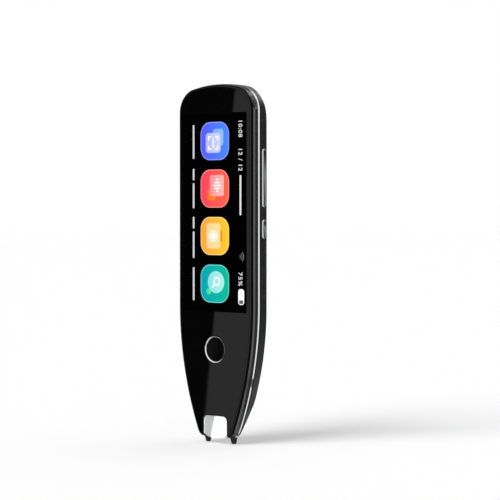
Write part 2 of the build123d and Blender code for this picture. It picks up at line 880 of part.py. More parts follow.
# Strip cable from the scanning board past the battery to the main board
with BuildPart() as scan_cable:
    with BuildSketch(front_plane(floor_back)):
        with BuildLine():
            Polyline(
                (-scan_board_width / 2, eye_top + board_thickness),
                (-scan_board_width / 2, eye_top + cable_rise),
                (-stack_half_width - cable_thickness, battery_z - battery_length / 2 - cable_rise),
                (-stack_half_width - cable_thickness, board_low),
            )
            offset(amount=cable_thickness, side=Side.RIGHT)
        make_face()
    extrude(amount=-scan_cable_width)

# Camera island on the back: rim, dark window, camera, lens and flash
with BuildPart() as camera_rim:
    with BuildSketch(front_plane(island_front)):
        with Locations((0, island_z)):
            SlotOverall(island_length, island_width, rotation=90)
    extrude(amount=-island_depth)
    chamfer(camera_rim.faces().sort_by(Axis.Y)[-1].edges(), island_edge)
    with BuildSketch(front_plane(island_front)):
        with Locations((0, island_z)):
            SlotOverall(island_length - 2 * island_wall, island_width - 2 * island_wall, rotation=90)
    extrude(amount=-island_depth, mode=Mode.SUBTRACT)

with BuildPart() as camera_window:
    with BuildSketch(front_plane(window_front)):
        with Locations((0, island_z)):
            SlotOverall(
                island_length - 2 * (island_wall + seat_fit),
                island_width - 2 * (island_wall + seat_fit),
                rotation=90,
            )
        with Locations((0, camera_z)):
            Circle(camera_lens_diameter / 2 + seat_fit, mode=Mode.SUBTRACT)
        with Locations((0, flash_z)):
            Circle(flash_diameter / 2 + seat_fit, mode=Mode.SUBTRACT)
    extrude(amount=-island_window_thickness)

with BuildPart() as camera_lens:
    with BuildSketch(front_plane(window_front)):
        with Locations((0, camera_z)):
            Circle(camera_lens_diameter / 2)
    extrude(amount=-island_window_thickness)

with BuildPart() as camera_module:
    with BuildSketch(front_plane(board_back)):
        with Locations((0, camera_z)):
            Rectangle(camera_size, camera_size)
    extrude(amount=-camera_height)
    with BuildSketch(front_plane(board_back)):
        with Locations((0, camera_z)):
            Circle(camera_barrel_diameter / 2)
    extrude(amount=-(window_front - camera_barrel_gap - board_back))

with BuildPart() as flash_lens:
    with BuildSketch(front_plane(window_back)):
        with Locations((0, flash_z)):
            Circle(flash_diameter / 2)
    extrude(amount=flash_thickness)

with BuildPart() as flash_led:
    with BuildSketch(front_plane(board_back)):
        with Locations((0, flash_z)):
            Rectangle(flash_stand_size, flash_stand_size)
    extrude(amount=-(window_back - flash_thickness - flash_chip_height - seat_fit - board_back))
    with BuildSketch(front_plane(board_back)):
        with Locations((0, flash_z)):
            Rectangle(flash_chip_size, flash_chip_size)
    extrude(amount=-(window_back - flash_thickness - seat_fit - board_back))

# Speaker: a sound box on the board and a curved mesh under the slots
with BuildPart() as speaker_mesh:
    with BuildSketch(front_plane(board_back)):
        with Locations((0, speaker_z)):
            Rectangle(
                2 * slot_pitch + slot_width + 2 * mesh_margin,
                slot_length + 2 * mesh_margin,
            )
        with Locations((0, island_z)):
            SlotOverall(island_length, island_width, rotation=90, mode=Mode.SUBTRACT)
    extrude(amount=-pen_thickness)
    add(barrel(wall), mode=Mode.INTERSECT)
    add(barrel(wall + mesh_thickness), mode=Mode.SUBTRACT)

with BuildPart() as speaker_box:
    with BuildSketch(front_plane(board_back)):
        with Locations((0, (speaker_top + speaker_bottom) / 2)):
            Rectangle(speaker_width, speaker_top - speaker_bottom)
    extrude(amount=-speaker_height)

parts = {
    "cover_glass": cover_glass,
    "front_frame": front_frame,
    "chrome_trim": chrome_trim,
    "rear_housing": rear_housing,
    "display_panel": display_panel,
    "display_backlight": display_backlight,
    "display_cable": display_cable,
    "home_button": home_button,
    "home_button_ring": home_button_ring,
    "home_board": home_board,
    "home_switch": home_switch,
    "volume_rocker": volume_rocker,
    "power_button": power_button,
    "side_key_switches": side_key_switches,
    "side_key_board": side_key_board,
    "key_bracket": key_bracket,
    "usb_c_shell": usb_c_shell,
    "usb_c_tongue": usb_c_tongue,
    "main_board": main_board,
    "board_screws": board_screws,
    "front_shield": front_shield,
    "rear_shield": rear_shield,
    "antenna": antenna,
    "microphone": microphone,
    "battery": battery,
    "battery_tape": battery_tape,
    "scan_cable": scan_cable,
    "scan_window": scan_window,
    "scan_trigger": scan_trigger,
    "scan_eye": scan_eye,
    "scan_lens": scan_lens,
    "scan_board": scan_board,
    "scan_lights": scan_lights,
    "trigger_springs": trigger_springs,
    "trigger_switch": trigger_switch,
    "camera_rim": camera_rim,
    "camera_window": camera_window,
    "camera_lens": camera_lens,
    "camera_module": camera_module,
    "flash_lens": flash_lens,
    "flash_led": flash_led,
    "speaker_mesh": speaker_mesh,
    "speaker_box": speaker_box,
}
os.makedirs("parts", exist_ok=True)
for name, builder in parts.items():
    builder.part.label = name
    export_step(builder.part, f"parts/{name}.step")
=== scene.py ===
import math
import bmesh
import bpy
from mathutils import Matrix, Vector


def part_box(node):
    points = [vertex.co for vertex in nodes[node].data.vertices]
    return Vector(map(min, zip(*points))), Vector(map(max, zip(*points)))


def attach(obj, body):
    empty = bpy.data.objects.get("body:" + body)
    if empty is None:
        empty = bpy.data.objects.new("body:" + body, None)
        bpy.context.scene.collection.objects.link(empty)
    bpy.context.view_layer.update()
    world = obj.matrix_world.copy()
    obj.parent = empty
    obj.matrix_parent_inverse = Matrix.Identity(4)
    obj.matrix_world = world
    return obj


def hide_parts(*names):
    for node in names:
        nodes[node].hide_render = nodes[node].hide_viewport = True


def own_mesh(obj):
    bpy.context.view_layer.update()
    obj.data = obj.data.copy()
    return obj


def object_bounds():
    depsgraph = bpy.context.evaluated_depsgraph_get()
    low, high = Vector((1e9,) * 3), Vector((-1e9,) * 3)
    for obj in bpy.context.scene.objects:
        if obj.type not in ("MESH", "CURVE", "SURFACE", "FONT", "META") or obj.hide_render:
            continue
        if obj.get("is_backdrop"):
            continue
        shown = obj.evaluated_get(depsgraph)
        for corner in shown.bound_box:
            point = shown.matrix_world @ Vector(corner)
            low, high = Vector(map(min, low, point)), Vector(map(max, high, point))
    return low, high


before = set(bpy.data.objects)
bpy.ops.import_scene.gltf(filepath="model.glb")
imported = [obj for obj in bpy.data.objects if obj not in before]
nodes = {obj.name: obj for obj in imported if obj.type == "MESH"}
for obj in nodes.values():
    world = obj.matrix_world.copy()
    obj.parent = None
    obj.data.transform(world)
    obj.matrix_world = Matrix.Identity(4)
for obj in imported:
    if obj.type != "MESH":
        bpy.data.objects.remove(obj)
cadLow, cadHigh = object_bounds()
mm = 0.001
mergeGap = 0.0005  # in millimetres: points nearer than this become one
flatAngle = 0.8    # in degrees: faces that meet flatter than this become one
lipAngle = 1.0     # in radians: the front edges of a rim are sharper than this
barRound = 2.1     # a bar's width over the radius of its corners
fullRound = 2.001  # the same where an end is a half circle
white = (1.0, 1.0, 1.0, 1.0)
print("stage: frame loaded,", len(nodes), "nodes")


# Shader helpers. An input takes a plain value, or a link when the value is another node's output.
def setInputs(tree, node, inputs):
    for key, value in inputs.items():
        if isinstance(value, bpy.types.NodeSocket):
            tree.links.new(value, node.inputs[key])
        else:
            node.inputs[key].default_value = value


def addNode(tree, kind, inputs=None, **settings):
    node = tree.nodes.new(kind)
    for key, value in settings.items():
        setattr(node, key, value)
    setInputs(tree, node, inputs or {})
    return node


def mathOf(tree, operation, first, second=0.0):
    return addNode(tree, "ShaderNodeMath", {0: first, 1: second}, operation=operation).outputs["Value"]


def dotOf(tree, place, direction):
    inputs = {0: place, 1: direction}
    return addNode(tree, "ShaderNodeVectorMath", inputs, operation="DOT_PRODUCT").outputs["Value"]


def scaleOf(tree, colour, factor):
    inputs = {"Vector": colour, "Scale": factor}
    return addNode(tree, "ShaderNodeVectorMath", inputs, operation="SCALE").outputs["Vector"]


def productOf(tree, first, second):
    inputs = {0: first, 1: second}
    return addNode(tree, "ShaderNodeVectorMath", inputs, operation="MULTIPLY").outputs["Vector"]


def mixOf(tree, factor, low, high):
    inputs = {"Factor": factor, "A": low, "B": high}
    return addNode(tree, "ShaderNodeMix", inputs, data_type="RGBA").outputs["Result"]


def rangeOf(tree, value, start, end=(0.0, 1.0)):
    # Moves a value from one span of numbers to another, and keeps it inside the second
    spans = {"From Min": start[0], "From Max": start[1], "To Min": end[0], "To Max": end[1]}
    return addNode(tree, "ShaderNodeMapRange", {"Value": value, **spans}).outputs["Result"]


def rampOf(tree, share, stops):
    # The stops give a place from 0 to 1 and the colour there
    ramp = addNode(tree, "ShaderNodeValToRGB", {"Fac": share})
    spots = ramp.color_ramp.elements
    for index, (spot, colour) in enumerate(stops):
        stop = spots[0] if index == 0 else spots[-1] if index == len(stops) - 1 else spots.new(spot)
        stop.position = spot
        stop.color = list(colour) + [1.0]
    return ramp.outputs["Color"]


def noiseOf(tree, coords, scale, detail, stretch=(1.0, 1.0, 1.0)):
    place = addNode(tree, "ShaderNodeMapping", {"Vector": coords, "Scale": stretch}).outputs["Vector"]
    inputs = {"Vector": place, "Scale": scale, "Detail": detail}
    return addNode(tree, "ShaderNodeTexNoise", inputs).outputs["Fac"]


def startMaterial(name):
    material = bpy.data.materials.new(name)
    material.use_nodes = True
    return material, material.node_tree, material.node_tree.nodes["Principled BSDF"]


def objectCoords(tree):
    # Patterns read these, so they stay on a piece when it moves
    return addNode(tree, "ShaderNodeTexCoord").outputs["Object"]


def screenTone(red, green, blue):
    # A colour as a paint program shows it, turned into the light value the shader wants
    shares = [level / 255 for level in (red, green, blue)]
    return [share / 12.92 if share <= 0.04045 else ((share + 0.055) / 1.055) ** 2.4 for share in shares]


plainFinish = {
    "metal": 0.0, "specular": 0.5, "ior": 1.5, "clear": 0.0, "glow": 0.0, "coat": 0.0, "coatRoughness": 0.03,
    "drift": 0.08, "driftScale": 90.0, "driftDetail": 4.0, "paintedShadeBelow": (), "paintedShadeFade": 0.15,
    "roughDrift": 0.04, "wearScale": 260.0, "wearDetail": 5.0, "wearSpan": (0.3, 0.7),
    "grain": 0.1, "grainScale": 5000.0, "grainDetail": 2.0, "grainDepth": 0.01, "stretch": (1.0, 1.0, 1.0),
}


def makeFinish(name, own):
    # One moulded, painted or polished surface: colour drift, roughness drift and fine grain
    look = {**plainFinish, **own}
    material, tree, shader = startMaterial(name)
    coords = objectCoords(tree)
    pale, deep = ([part * (1 + side * look["drift"]) for part in look["colour"]] + [1.0] for side in (1, -1))
    paint = mixOf(tree, noiseOf(tree, coords, look["driftScale"], look["driftDetail"]), deep, pale)
    if "flake" in look:
        # Metal flakes in the paint: every cell has its own brightness
        flakes = addNode(tree, "ShaderNodeTexVoronoi", {"Vector": coords, "Scale": look["flakeScale"]})
        tone = addNode(tree, "ShaderNodeSeparateColor", {"Color": flakes.outputs["Color"]}).outputs["Red"]
        flakeSpan = (1.0 - look["flake"], 1.0 + look["flake"])
        paint = scaleOf(tree, paint, rangeOf(tree, tone, (0.0, 1.0), flakeSpan))
    for direction, limit, left in look["paintedShadeBelow"]:
        # Painted shade: a share of the colour is left where the place along a direction, in millimetres, is
        # under a limit
        fade = (limit * mm, (limit + look["paintedShadeFade"]) * mm)
        paint = scaleOf(tree, paint, rangeOf(tree, dotOf(tree, coords, direction), fade, (left, 1.0)))
    wear = noiseOf(tree, coords, look["wearScale"], look["wearDetail"], look["stretch"])
    roughSpan = (max(look["rough"] - look["roughDrift"], 0.0), look["rough"] + look["roughDrift"])
    grain = noiseOf(tree, coords, look["grainScale"], look["grainDetail"], look["stretch"])
    bump = addNode(tree, "ShaderNodeBump", {"Height": grain, "Strength": look["grain"],
                                            "Distance": look["grainDepth"] * mm})
    setInputs(tree, shader, {
        "Base Color": paint, "Roughness": rangeOf(tree, wear, look["wearSpan"], roughSpan),
        "Normal": bump.outputs["Normal"], "Metallic": look["metal"], "Specular IOR Level": look["specular"],
        "IOR": look["ior"], "Transmission Weight": look["clear"], "Emission Strength": look["glow"],
        "Coat Weight": look["coat"], "Coat Roughness": look["coatRoughness"]})
    return material


glowLook = {"rough": 0.3, "specular": 0.1, "raster": 9000.0, "shades": (1.04, 0.92), "body": 0.25}


def makeGlow(name, left, right, glow=0.8, ends=(-7.75, 7.75)):
    # A lit patch of the screen: its colour runs across X between the ends, with a fine pixel raster
    material, tree, shader = startMaterial(name)
    coords = objectCoords(tree)
    across = addNode(tree, "ShaderNodeSeparateXYZ", {"Vector": coords}).outputs["X"]
    share = rangeOf(tree, across, (ends[0] * mm, ends[1] * mm))
    run = mixOf(tree, share, screenTone(*left) + [1.0], screenTone(*right) + [1.0])
    inputs = {"Vector": coords, "Scale": glowLook["raster"], "Randomness": 0.0}
    raster = addNode(tree, "ShaderNodeTexVoronoi", inputs, distance="CHEBYCHEV").outputs["Distance"]
    light = scaleOf(tree, run, rangeOf(tree, raster, (0.0, 1.0), glowLook["shades"]))
    setInputs(tree, shader, {
        "Emission Color": light, "Base Color": scaleOf(tree, light, glowLook["body"]),
        "Emission Strength": glow, "Roughness": glowLook["rough"],
        "Specular IOR Level": glowLook["specular"]})
    return material


def makeRings(name, centre, stops, look):
    # A turned glass piece whose colour, and ribs if any, follow the distance from its own axis; the colour
    # also glows, as painted light
    material, tree, shader = startMaterial(name)
    inputs = {"Vector": objectCoords(tree), "Location": (-centre[0] * mm, 0.0, -centre[1] * mm)}
    place = addNode(tree, "ShaderNodeMapping", inputs).outputs["Vector"]
    flat = productOf(tree, place, (1.0, 0.0, 1.0))
    reach = addNode(tree, "ShaderNodeVectorMath", {0: flat}, operation="LENGTH").outputs["Value"]
    colour = rampOf(tree, rangeOf(tree, reach, (0.0, look["radius"] * mm)), stops)
    setInputs(tree, shader, {
        "Base Color": colour, "Emission Color": colour, "Emission Strength": look["glow"],
        "Roughness": look["rough"], "Coat Weight": look["coat"]})
    if "ribs" in look:
        wave = mathOf(tree, "PINGPONG", reach, look["ribs"] * mm)
        inputs = {"Height": wave, "Strength": look["ribStrength"], "Distance": 1.0}
        setInputs(tree, shader, {"Normal": addNode(tree, "ShaderNodeBump", inputs).outputs["Normal"]})
    return material


# Mesh helpers. Shapes are drawn in millimetres and scaled to metres when the piece is made.
def placePiece(name, shape, finish, body="pen", stands=(), soft=35.0):
    bmesh.ops.remove_doubles(shape, verts=shape.verts, dist=mergeGap)
    bmesh.ops.scale(shape, verts=shape.verts, vec=(mm, mm, mm))
    bmesh.ops.recalc_face_normals(shape, faces=shape.faces)
    mesh = bpy.data.meshes.new(name)
    shape.to_mesh(mesh)
    shape.free()
    for material in (finish if isinstance(finish, list) else [finish]):
        mesh.materials.append(material)
    mesh.shade_smooth()
    mesh.set_sharp_from_angle(angle=math.radians(soft))
    piece = bpy.data.objects.new(name, mesh)
    bpy.context.scene.collection.objects.link(piece)
    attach(piece, body)
    if stands:
        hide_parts(*stands)
    return piece


def bevelParts(shape, parts, width, segments, affect="EDGES"):
    bmesh.ops.bevel(shape, geom=parts, offset=width, offset_type="OFFSET", segments=segments, profile=0.5,
                    affect=affect, material=-1, clamp_overlap=True)


def addOutline(shape, centre, size, corner, y, segments):
    # One flat face with rounded corners that faces the glass side; centre and size are in X and Z
    before = set(shape.faces)
    quad = bmesh.ops.create_grid(shape, x_segments=1, y_segments=1, size=0.5)["verts"]
    lay = Matrix.Translation((centre[0], y, centre[1])) @ Matrix.Rotation(math.radians(90.0), 4, "X")
    bmesh.ops.transform(shape, matrix=lay @ Matrix.Diagonal((size[0], size[1], 1.0, 1.0)), verts=quad)
    if corner:
        bevelParts(shape, quad, corner, segments, "VERTICES")
    return next(face for face in shape.faces if face not in before)


def pullBack(shape, faces, depth):
    # Gives flat faces a thickness along Y
    drawn = bmesh.ops.extrude_face_region(shape, geom=faces)["geom"]
    moved = [part for part in drawn if isinstance(part, bmesh.types.BMVert)]
    bmesh.ops.translate(shape, verts=moved, vec=(0.0, depth, 0.0))
    return moved


def addPlate(shape, centre, size, corner, back, front, segments):
    face = addOutline(shape, centre, size, corner, back, segments)
    pullBack(shape, [face], front - back)


def planSpot(vert):
    return round(vert.co.x, 4), round(vert.co.z, 4)


def addRing(shape, centre, size, corner, width, back, front, segments=12, dip=0.0, ease=0.0):
    # A closed rim of even width; dip sinks its inner edge, or lifts it if negative, and ease rounds the front
    face = addOutline(shape, centre, size, corner, back, segments)
    before = set(shape.faces)
    bmesh.ops.inset_region(shape, faces=[face], thickness=width, use_even_offset=True, use_boundary=True)
    rim = [part for part in shape.faces if part not in before]
    inner = {planSpot(vert) for vert in face.verts}
    bmesh.ops.delete(shape, geom=[face], context="FACES_ONLY")
    moved = set(pullBack(shape, rim, front - back))
    for vert in moved:
        if planSpot(vert) in inner:
            vert.co.y -= dip * math.copysign(1.0, front - back)
    if ease:
        lip = [edge for edge in shape.edges
               if all(end in moved for end in edge.verts) and edge.calc_face_angle(0.0) > lipAngle]
        bevelParts(shape, lip, ease, segments=2)


def mergedCopy(node, flat=True):
    # A CAD node's shape in millimetres, its loose triangles joined, and into flat faces unless told not to
    shape = bmesh.new()
    shape.from_mesh(nodes[node].data)
    bmesh.ops.scale(shape, verts=shape.verts, vec=(1 / mm, 1 / mm, 1 / mm))
    bmesh.ops.remove_doubles(shape, verts=shape.verts, dist=mergeGap)
    if flat:
        bmesh.ops.dissolve_limit(shape, angle_limit=math.radians(flatAngle), verts=shape.verts,
                                 edges=shape.edges)
    return shape


def cutAcross(shape, place, direction):
    # New edges where a plane crosses the shape
    bmesh.ops.bisect_plane(shape, geom=shape.verts[:] + shape.edges[:] + shape.faces[:], dist=mergeGap,
                           plane_co=place, plane_no=direction)


def softenEdges(shape, width, segments=3, angle=30.0, where=None):
    sharp = [edge for edge in shape.edges if edge.is_manifold and edge.calc_face_angle() > math.radians(angle)
             and (where is None or all(where(vert.co) for vert in edge.verts))]
    bevelParts(shape, sharp, width, segments)


def addTurned(shape, profile, centre, steps=72):
    # A turned form about an axis along Y: the profile gives radius and Y, centre gives X and Z
    points = [shape.verts.new((centre[0] + radius, y, centre[1])) for radius, y in profile]
    runs = [shape.edges.new(pair) for pair in zip(points, points[1:])]
    bmesh.ops.spin(shape, geom=points + runs, cent=(centre[0], 0.0, centre[1]), axis=(0.0, 1.0, 0.0),
                   angle=math.tau, steps=steps, use_merge=True)


# Finishes of the pieces that keep their CAD shape
finishes = {
    "blackGlass": {"colour": (0.0016, 0.0016, 0.0018), "rough": 0.012, "roughDrift": 0.008, "grain": 0.0,
                   "ior": 1.74},
    "bezelBlack": {"colour": (0.034, 0.034, 0.035), "rough": 0.13, "roughDrift": 0.03, "grain": 0.03,
                   "ior": 1.75},
    "brightChrome": {"colour": (0.84, 0.845, 0.85), "metal": 1.0, "rough": 0.07, "roughDrift": 0.02,
                     "grain": 0.02},
    "gunmetalPaint": {"colour": (0.245, 0.248, 0.250), "metal": 0.99, "rough": 0.22, "roughDrift": 0.02,
                      "driftScale": 240.0, "drift": 0.03, "flake": 0.16, "flakeScale": 11000.0,
                      "grainScale": 9000.0, "grain": 0.3, "grainDepth": 0.0002, "coat": 0.1,
                      "coatRoughness": 0.12,
                      # Painted shade: a dark strip along the front of the shell, where the seam behind the
                      # chrome trim is shaded, and a dark lower tip, where the shell falls into shadow
                      "paintedShadeBelow": [((0.0, 1.0, 0.0), -1.45, 0.45), ((0.0, 0.62, 1.0), -68.7, 0.08)]},
    "rubberBlack": {"colour": (0.011, 0.011, 0.012), "rough": 0.42, "roughDrift": 0.05, "grain": 0.25},
    "buttonBlack": {"colour": (0.0012, 0.0012, 0.0014), "rough": 0.22, "specular": 0.12, "grain": 0.02},
    # The pane glows a little though it is no lamp: painted light, so it reads whiter than the floor behind it
    "milkyPanePaintedGlow": {"colour": (0.93, 0.95, 0.945), "rough": 0.06, "clear": 0.80, "ior": 1.3, "grain": 0.02,
                  "drift": 0.02, "glow": 0.1},
    "socketSteel": {"colour": (0.80, 0.80, 0.79), "metal": 1.0, "rough": 0.14, "grain": 0.05,
                    "stretch": (0.05, 1.0, 1.0)},
    "blackPlastic": {"colour": (0.012, 0.012, 0.012), "rough": 0.5, "grain": 0.3},
    "windowBlack": {"colour": (0.0016, 0.0016, 0.0018), "rough": 0.03, "roughDrift": 0.01, "grain": 0.0},
    "lensBlack": {"colour": (0.006, 0.006, 0.007), "rough": 0.2, "roughDrift": 0.05, "grain": 0.05},
    "meshSteel": {"colour": (0.10, 0.10, 0.10), "metal": 1.0, "rough": 0.4, "grain": 0.3},
    "boardGreen": {"colour": (0.012, 0.085, 0.034), "rough": 0.35, "drift": 0.35, "driftScale": 900.0,
                   "coat": 0.4, "grainScale": 2600.0, "grain": 0.4},
    "tinPlate": {"colour": (0.58, 0.58, 0.56), "metal": 1.0, "rough": 0.33, "stretch": (1.0, 1.0, 12.0)},
    "foilSilver": {"colour": (0.52, 0.53, 0.55), "metal": 1.0, "rough": 0.4, "grainScale": 700.0,
                   "grain": 0.5, "grainDepth": 0.08},
    "stickyTape": {"colour": (0.78, 0.77, 0.70), "rough": 0.65, "grainScale": 1500.0, "grain": 0.3},
    "amberFilm": {"colour": (0.36, 0.14, 0.02), "rough": 0.28, "coat": 0.5, "drift": 0.2,
                  "driftScale": 600.0},
    "springSteel": {"colour": (0.46, 0.46, 0.45), "metal": 1.0, "rough": 0.3, "stretch": (1.0, 1.0, 20.0)},
    "screenBlack": {"colour": (0.004, 0.004, 0.005), "rough": 0.2},
    "lightGuide": {"colour": (0.82, 0.82, 0.80), "rough": 0.45, "coat": 0.2},
    "ledWhite": {"colour": (0.86, 0.84, 0.70), "rough": 0.35, "coat": 0.3},
    "goldPlate": {"colour": (0.85, 0.60, 0.25), "metal": 1.0, "rough": 0.2, "grain": 0.05},
}
finishOf = {
    "cover_glass": "blackGlass", "front_frame": "bezelBlack", "chrome_trim": "brightChrome",
    "rear_housing": "gunmetalPaint", "display_panel": "screenBlack",
    "display_backlight": "lightGuide", "display_cable": "amberFilm",
    "home_button": "buttonBlack", "home_button_ring": "brightChrome", "home_board": "boardGreen",
    "home_switch": "blackPlastic", "volume_rocker": "gunmetalPaint", "power_button": "gunmetalPaint",
    "side_key_switches": "blackPlastic", "side_key_board": "amberFilm", "key_bracket": "tinPlate",
    "usb_c_shell": "socketSteel", "usb_c_tongue": "blackPlastic", "main_board": "boardGreen",
    "board_screws": "springSteel", "front_shield": "tinPlate", "rear_shield": "tinPlate",
    "antenna": "amberFilm", "microphone": "tinPlate", "battery": "foilSilver",
    "battery_tape": "stickyTape", "scan_cable": "amberFilm", "scan_window": "milkyPanePaintedGlow",
    "scan_trigger": "rubberBlack", "scan_eye": "blackPlastic", "scan_lens": "lensBlack",
    "scan_board": "boardGreen", "scan_lights": "ledWhite", "trigger_springs": "springSteel",
    "trigger_switch": "blackPlastic", "camera_rim": "brightChrome", "camera_window": "windowBlack",
    "camera_lens": "lensBlack", "camera_module": "blackPlastic", "flash_lens": "ledWhite",
    "flash_led": "ledWhite", "speaker_mesh": "meshSteel", "speaker_box": "blackPlastic",
}
made = {name: makeFinish(name, look) for name, look in finishes.items()}
for node, finish in finishOf.items():
    for place in nodes[node].material_slots:
        place.material = made[finish]
print("stage: finishes on", len(finishOf), "nodes")

# Lit screen: a black field on the glass, four tiles with plain signs, a clock and a battery
screenLook = {"centre": (0.0, 20.9), "size": (34.34, 80.8), "corner": 0.6, "glass": -6.5, "step": 0.012,
              "levels": 6}
glass = screenLook["glass"]
levels = [glass - screenLook["step"] * (index + 1) for index in range(screenLook["levels"])]


def addPatch(shape, centre, size, corner, level, segments):
    # A plate on the glass, as high as one of the levels, which count up from the glass
    addPlate(shape, centre, size, corner, glass, levels[level], segments)


def addBar(shape, centre, size, level, segments):
    addPatch(shape, centre, size, min(size) / barRound, level, segments)


def placeOnScreen(name, shape, finish):
    placePiece(name, shape, finish)


def placePatch(name, centre, size, corner, finish, level, segments):
    shape = bmesh.new()
    addPatch(shape, centre, size, corner, level, segments)
    placeOnScreen(name, shape, finish)


pictureBlack = makeFinish("pictureBlack", {"colour": (0.0003, 0.0003, 0.0003), "rough": 0.3,
                                           "specular": 0.01, "grain": 0.0})
placePatch("screenField", screenLook["centre"], screenLook["size"], screenLook["corner"], pictureBlack,
           level=0, segments=4)

tileLook = {"size": 15.5, "corner": 5.0, "rim": 0.35, "rimGlow": 0.7}
tiles = {
    "scanTile": {"z": 49.98, "left": (85, 85, 250), "right": (70, 135, 250), "rim": (150, 165, 255)},
    "voiceTile": {"z": 30.65, "left": (250, 60, 90), "right": (255, 100, 70), "rim": (255, 150, 150)},
    "photoTile": {"z": 11.36, "left": (255, 160, 60), "right": (250, 200, 40), "rim": (255, 220, 140)},
    "wordTile": {"z": -8.05, "left": (0, 160, 175), "right": (0, 185, 150), "rim": (120, 220, 215)},
}
# Cards lie on a tile: low and high corner from the tile's middle in X and Z, corner size, level, colours
cards = {
    "scanTile": [
        ("backCard", (-1.1, -2.0), (4.7, 4.9), 1.3, 3, (130, 165, 255), (140, 185, 255)),
        ("frontCard", (-4.9, -4.8), (3.2, 3.3), 1.4, 4, (175, 180, 255), (200, 210, 255)),
    ],
    "voiceTile": [
        ("backCard", (-4.0, -4.7), (0.4, -0.4), 0.8, 3, (255, 110, 30), (255, 140, 20)),
        ("frontCard", (-2.7, -3.1), (4.9, 5.5), 1.0, 4, (250, 140, 150), (255, 185, 175)),
    ],
    "photoTile": [
        ("backCard", (3.1, -2.2), (4.1, 2.2), 0.45, 3, (245, 130, 20), (240, 140, 15)),
        ("frontCard", (-4.5, -5.1), (3.0, 5.2), 1.2, 4, (255, 205, 150), (255, 222, 150)),
    ],
    "wordTile": [
        ("backCard", (-4.6, -4.5), (-2.0, -1.9), 1.3, 3, (60, 215, 150), (90, 225, 150)),
        ("frontCard", (-3.85, -3.85), (5.15, 5.15), 4.5, 4, (130, 220, 225), (175, 235, 225)),
    ],
}
for name, tile in tiles.items():
    middle, side = (0.0, tile["z"]), tileLook["size"]
    rimGlow = makeGlow(name + "Rim", tile["rim"], tile["rim"], tileLook["rimGlow"])
    placePatch(name + "Rim", middle, (side, side), tileLook["corner"], rimGlow, level=1, segments=12)
    side -= 2 * tileLook["rim"]
    tileGlow = makeGlow(name, tile["left"], tile["right"])
    placePatch(name, middle, (side, side), tileLook["corner"] - tileLook["rim"], tileGlow, level=2,
               segments=12)
    for part, low, high, corner, level, left, right in cards[name]:
        centre = ((low[0] + high[0]) / 2, tile["z"] + (low[1] + high[1]) / 2)
        cardGlow = makeGlow(name + part, left, right, ends=(low[0], high[0]))
        placePatch(name + part[0].upper() + part[1:], centre, (high[0] - low[0], high[1] - low[1]), corner,
                   cardGlow, level, segments=10)

# Plain signs: scan brackets, a sound wave, a lens and a reading glass; lifts are from the tile's middle
signLevel = 5
signWhite = makeGlow("signWhite", (250, 250, 255), (255, 255, 255), glow=0.85)
scanSign = {"x": -0.85, "lift": -0.75, "stroke": 0.55, "reach": 2.5, "leg": 1.25, "gap": 0.3}
stroke, reach, leg = scanSign["stroke"], scanSign["reach"], scanSign["leg"]
here = (scanSign["x"], tiles["scanTile"]["z"] + scanSign["lift"])
shape = bmesh.new()
for right in (-1, 1):
    for top in (-1, 1):
        tip = (here[0] + right * reach, here[1] + top * reach)
        addBar(shape, (tip[0] - right * leg / 2, tip[1]), (leg + stroke, stroke), signLevel, segments=4)
        addBar(shape, (tip[0], tip[1] - top * leg / 2), (stroke, leg + stroke), signLevel, segments=4)
addBar(shape, here, (stroke, 2 * (reach - scanSign["gap"])), signLevel, segments=4)
placeOnScreen("scanTileSign", shape, signWhite)

waveSign = {"x": 1.3, "lift": 1.25, "stroke": 0.62, "corner": 0.3,
            "bars": [(-2.4, 1.3), (-1.2, 3.0), (0.0, 4.4), (1.2, 3.0), (2.4, 1.3)]}
here = (waveSign["x"], tiles["voiceTile"]["z"] + waveSign["lift"])
shape = bmesh.new()
for offset, tall in waveSign["bars"]:
    addPatch(shape, (here[0], here[1] + offset), (tall, waveSign["stroke"]), waveSign["corner"], signLevel,
             segments=5)
placeOnScreen("voiceTileSign", shape, signWhite)

lensSign = {"x": -0.85, "spot": 2.9, "spotCorner": 1.449, "ring": 4.7, "ringCorner": 2.349, "stroke": 0.4}
here = (lensSign["x"], tiles["photoTile"]["z"])
shape = bmesh.new()
addPatch(shape, here, (lensSign["spot"], lensSign["spot"]), lensSign["spotCorner"], signLevel, segments=12)
addRing(shape, here, (lensSign["ring"], lensSign["ring"]), lensSign["ringCorner"], lensSign["stroke"], glass,
        levels[signLevel])
placeOnScreen("photoTileSign", shape, signWhite)

wordSign = {"x": 1.1, "lift": 1.0, "ring": 3.6, "ringCorner": 1.799, "stroke": 0.6, "handle": (0.65, 2.0),
            "drop": 2.6, "corner": 0.3, "tilt": 45.0}
here = (wordSign["x"], tiles["wordTile"]["z"] + wordSign["lift"])
shape = bmesh.new()
addRing(shape, here, (wordSign["ring"], wordSign["ring"]), wordSign["ringCorner"], wordSign["stroke"], glass,
        levels[signLevel])
before = set(shape.verts)
addPatch(shape, (here[0], here[1] - wordSign["drop"]), wordSign["handle"], wordSign["corner"], signLevel,
         segments=5)
handle = [vert for vert in shape.verts if vert not in before]
bmesh.ops.rotate(shape, verts=handle, cent=(here[0], 0.0, here[1]),
                 matrix=Matrix.Rotation(math.radians(wordSign["tilt"]), 3, "Y"))
placeOnScreen("wordTileSign", shape, signWhite)

